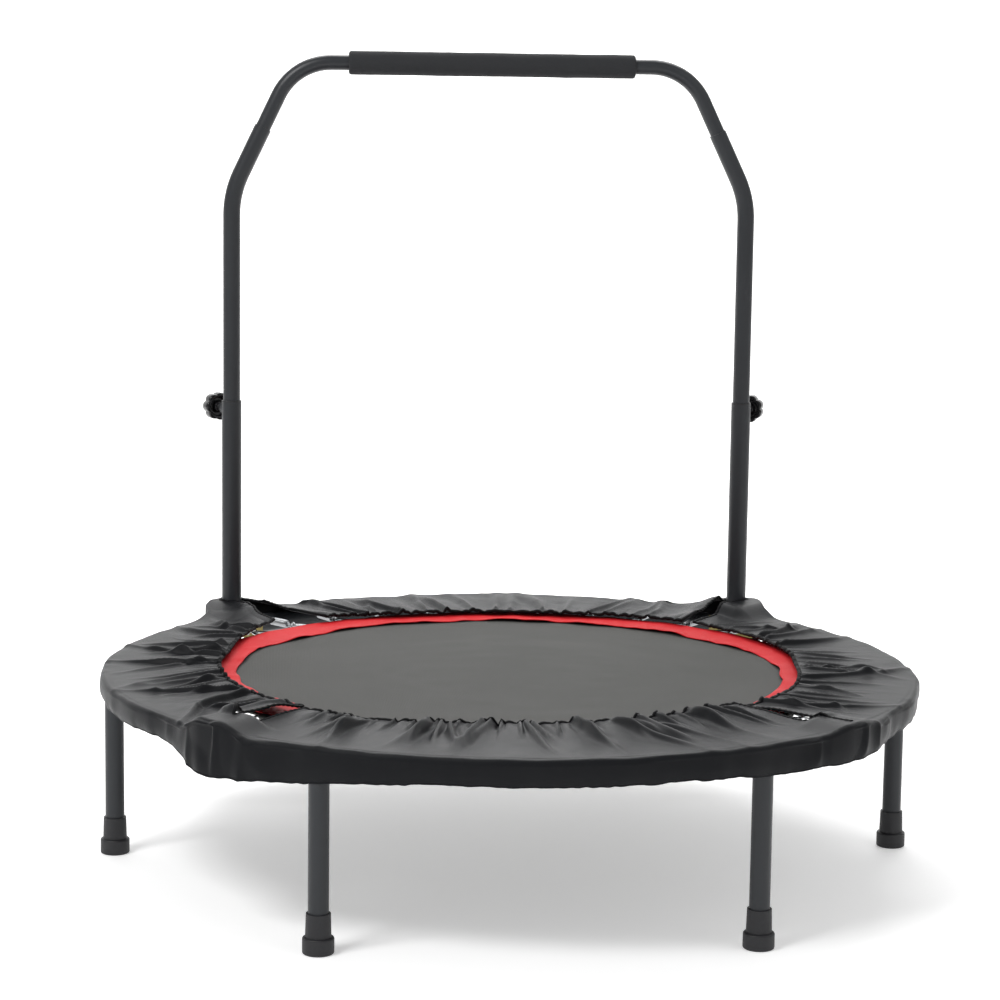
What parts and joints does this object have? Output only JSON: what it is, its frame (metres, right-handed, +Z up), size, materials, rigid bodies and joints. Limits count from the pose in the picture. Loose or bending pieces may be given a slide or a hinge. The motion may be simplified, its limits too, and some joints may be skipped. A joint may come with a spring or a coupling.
{
  "type": "mini trampoline",
  "caption": "Round folding rebounder: sprung mat, fabric spring cover, legs with rubber feet and a height-adjustable arched handrail with a foam grip.",
  "frame": {"origin": "on the floor under the centre of the round frame", "axes": "+X to the right, +Y to the back (handrail side), +Z up"},
  "size_m": [1.023, 1.0179, 1.005],
  "materials": {
    "frame_paint": "satin black powder coat",
    "rail_paint": "satin black powder coat",
    "foot_rubber": "matt moulded rubber",
    "yellow_zinc": "yellow zinc plate",
    "bright_zinc": "bright zinc plate",
    "spring_wire": "zinc-plated wire",
    "ring_wire": "zinc-plated wire",
    "mat_fabric": "fine woven polypropylene",
    "band_fabric": "red woven webbing",
    "cover_fabric": "thin black polyester",
    "knob_plastic": "glossy black plastic",
    "liner_plastic": "black plastic",
    "grip_foam": "closed-cell foam"
  },
  "bodies": {
    "back_half": {"cover_back": "cover_fabric", "cover_left": "cover_fabric", "edge_band_back_half": "band_fabric", "foot_back_left": "foot_rubber", "foot_back_right": "foot_rubber", "foot_left": "foot_rubber", "frame_arc_back": "frame_paint", "frame_arc_left": "frame_paint", "hinge_back_left_leaf_inner": "yellow_zinc", "hinge_back_left_leaf_outer": "yellow_zinc", "hinge_back_left_pin": "yellow_zinc", "hinge_back_right_leaf_outer": "yellow_zinc", "hinge_back_right_pin": "yellow_zinc", "hinge_front_left_leaf_outer": "yellow_zinc", "hinge_front_left_pin": "yellow_zinc", "hinge_nuts_back_half": "bright_zinc", "leg_back_left": "frame_paint", "leg_back_right": "frame_paint", "leg_left": "frame_paint", "lower_post_left": "frame_paint", "lower_post_right": "frame_paint", "mat_back_half": "mat_fabric", "post_bolts": "bright_zinc", "post_bracket_left": "yellow_zinc", "post_bracket_right": "yellow_zinc", "post_liner_left": "liner_plastic", "post_liner_right": "liner_plastic", "post_nuts": "bright_zinc", "springs_back_half": "spring_wire", "v_rings_back_half": "ring_wire"},
    "front_half": {"cover_front": "cover_fabric", "cover_right": "cover_fabric", "edge_band_front_half": "band_fabric", "foot_front_left": "foot_rubber", "foot_front_right": "foot_rubber", "foot_right": "foot_rubber", "frame_arc_front": "frame_paint", "frame_arc_right": "frame_paint", "hinge_back_right_leaf_inner": "yellow_zinc", "hinge_front_left_leaf_inner": "yellow_zinc", "hinge_front_right_leaf_inner": "yellow_zinc", "hinge_front_right_leaf_outer": "yellow_zinc", "hinge_front_right_pin": "yellow_zinc", "hinge_nut_front_half": "bright_zinc", "leg_front_left": "frame_paint", "leg_front_right": "frame_paint", "leg_right": "frame_paint", "mat_front_half": "mat_fabric", "springs_front_half": "spring_wire", "v_rings_front_half": "ring_wire"},
    "handrail": {"foam_grip": "grip_foam", "handrail_side_left": "rail_paint", "handrail_side_right": "rail_paint", "handrail_top_bar": "rail_paint", "seam_screws": "bright_zinc"},
    "knob_left": {"clamp_knob_left": "knob_plastic", "knob_screw_left": "bright_zinc"},
    "knob_right": {"clamp_knob_right": "knob_plastic", "knob_screw_right": "bright_zinc"}
  },
  "joints": [
    {"name": "fold_half", "type": "hinge", "parent": "back_half", "child": "front_half", "pos_m": [0, 0, 0.2425], "axis": [-0.7071, -0.7071, 0], "range_deg": [0, 180]},
    {"name": "handrail_height", "type": "slide", "parent": "back_half", "child": "handrail", "axis": [0, 0, 1], "range_m": [-0.18, 0.04]},
    {"name": "knob_left_turn", "type": "hinge", "parent": "back_half", "child": "knob_left", "pos_m": [-0.35355, 0.39598, 0.516], "axis": [-0.4226, 0.9063, 0], "continuous": true},
    {"name": "knob_right_turn", "type": "hinge", "parent": "back_half", "child": "knob_right", "pos_m": [0.35355, 0.39598, 0.516], "axis": [0.4226, 0.9063, 0], "continuous": true}
  ]
}
